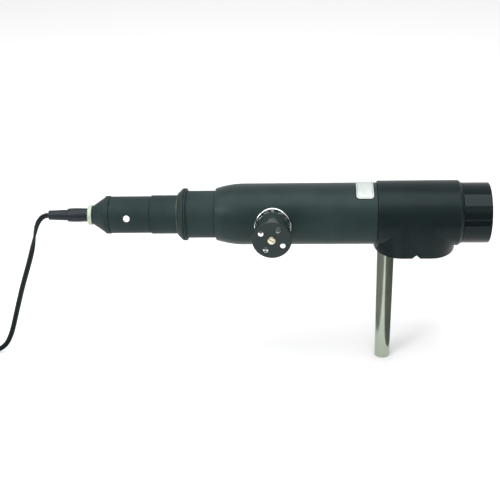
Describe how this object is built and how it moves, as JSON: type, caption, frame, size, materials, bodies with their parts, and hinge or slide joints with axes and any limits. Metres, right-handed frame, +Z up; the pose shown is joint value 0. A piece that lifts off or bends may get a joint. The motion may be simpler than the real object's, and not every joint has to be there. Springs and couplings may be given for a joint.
{
  "type": "optometer head",
  "caption": "Tube-type optometer head on a tapered post, with a lamp unit on a lead, a clamp, a focus knob with rack and pinion, an objective and a hood.",
  "frame": {"origin": "middle of the flat foot of the post, at the level that the post stands on", "axes": "+X along the optical axis towards the hood, +Z up the post, the focus knob on the -Y side"},
  "size_m": [0.4775, 0.0886, 0.1585],
  "materials": {
    "black_paint": "satin green-black enamel on aluminium",
    "black_gloss": "smooth gloss black enamel",
    "knob_gloss": "polished black",
    "black_plastic": "moulded blue-black",
    "cream_plastic": "aged cream",
    "white_plastic": "smooth white",
    "post_steel": "fine turned",
    "polished_steel": "polished",
    "brass": "pale, turned",
    "bronze": "plain",
    "aluminium": "turned",
    "label_metal": "silver with a thin dark border line",
    "lens_glass": "clear, coated",
    "ground_glass": "ground",
    "ceramic": "unglazed",
    "cord_rubber": "smooth black"
  },
  "bodies": {
    "housing": {"main_tube": "black_paint", "light_baffle": "black_paint", "label_plate": "label_metal", "head_block": "black_paint", "hood": "black_gloss", "objective_cell": "aluminium", "objective_flint": "lens_glass", "objective_crown": "lens_glass", "objective_retainer": "black_paint", "post": "post_steel", "post_washer": "post_steel", "post_stud": "post_steel", "neck_tube": "black_paint", "collet_ring": "bronze", "knob_flange": "polished_steel", "shaft_bush": "bronze"},
    "clamp": {"clamp_nut": "black_paint"},
    "lamp_unit": {"lamp_sleeve": "black_paint", "lamp_tube": "black_paint", "lamp_end_cone": "black_paint", "socket_ring": "cream_plastic", "socket_barrel": "post_steel", "socket_base": "black_plastic", "socket_pin": "brass", "lamp_holder": "ceramic", "locating_screw": "white_plastic", "lamp_cap": "brass", "lamp_bulb": "lens_glass", "lamp_filament": "post_steel", "lamp_lead_front": "brass", "lamp_lead_back": "brass", "diffuser": "ground_glass", "condenser_rear": "lens_glass", "condenser_spacer": "aluminium", "condenser_front": "lens_glass", "condenser_retainer": "black_paint"},
    "plug": {"plug_body": "black_plastic", "plug_tip": "post_steel", "plug_strain_relief": "black_plastic", "cord": "cord_rubber", "coil": "cord_rubber", "cord_tail": "cord_rubber", "far_plug_body": "black_plastic", "far_plug_pin_left": "brass", "far_plug_pin_right": "brass"},
    "focus": {"focus_knob": "knob_gloss", "knob_stud_1": "polished_steel", "knob_stud_2": "polished_steel", "knob_stud_3": "polished_steel", "knob_stud_4": "polished_steel", "knob_screw": "brass", "focus_shaft": "post_steel", "friction_washer": "bronze", "pinion": "brass"},
    "carriage": {"carriage": "aluminium", "rack": "brass", "target_glass": "lens_glass", "target_ring": "brass", "relay_lens": "lens_glass", "relay_ring": "brass"}
  },
  "joints": [
    {"name": "focus_turn", "type": "hinge", "parent": "housing", "child": "focus", "pos_m": [-0.09, 0, 0.1325], "axis": [0, -1, 0], "range_deg": [-140, 140]},
    {"name": "carriage_slide", "type": "slide", "parent": "housing", "child": "carriage", "axis": [1, 0, 0], "range_m": [-0.0117, 0.0117]},
    {"name": "clamp_turn", "type": "hinge", "parent": "housing", "child": "clamp", "pos_m": [-0.165, 0, 0.1325], "axis": [1, 0, 0], "range_deg": [-180, 20]},
    {"name": "lamp_slide", "type": "slide", "parent": "housing", "child": "lamp_unit", "axis": [-1, 0, 0], "range_m": [-0.008, 0.012]},
    {"name": "plug_slide", "type": "slide", "parent": "lamp_unit", "child": "plug", "axis": [-1, 0, 0], "range_m": [0, 0.0125]}
  ],
  "couplings": [
    {"joint": "focus_turn", "follows": "carriage_slide", "rad_per_m": -208.33}
  ]
}
